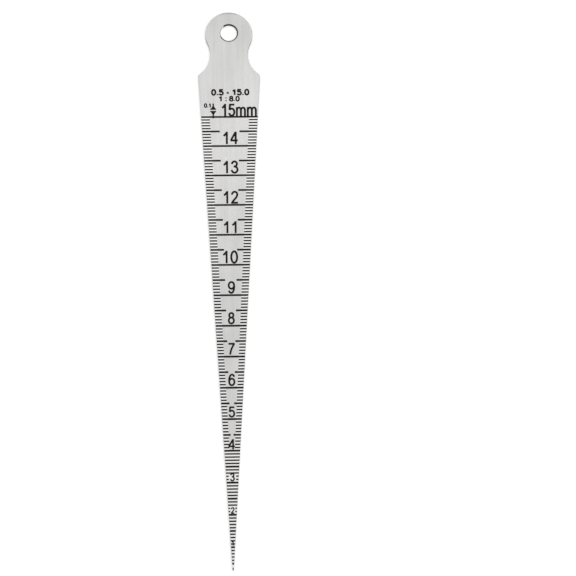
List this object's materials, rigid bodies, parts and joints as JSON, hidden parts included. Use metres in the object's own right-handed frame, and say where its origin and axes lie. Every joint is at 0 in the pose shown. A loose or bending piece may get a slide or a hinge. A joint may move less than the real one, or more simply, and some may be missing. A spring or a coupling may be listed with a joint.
{
  "type": "taper gauge",
  "caption": "Flat steel taper gauge: a long pointed blade with graduations cut across one face, necked in to a round head with a hanging hole.",
  "frame": {"origin": "middle of the outline's box, on the back face, which lies on Z = 0", "axes": "+X across the blade to the right, +Y along it from the tip to the head, +Z out of the graduated face"},
  "size_m": [0.0164, 0.147, 0.0007],
  "materials": {
    "satin_steel": "light satin stainless steel, finely brushed along the blade",
    "mark_ink": "matt black fill in the cut graduations and numerals"
  },
  "bodies": {
    "root": {"gauge_blade": "satin_steel"}
  },
  "joints": []
}
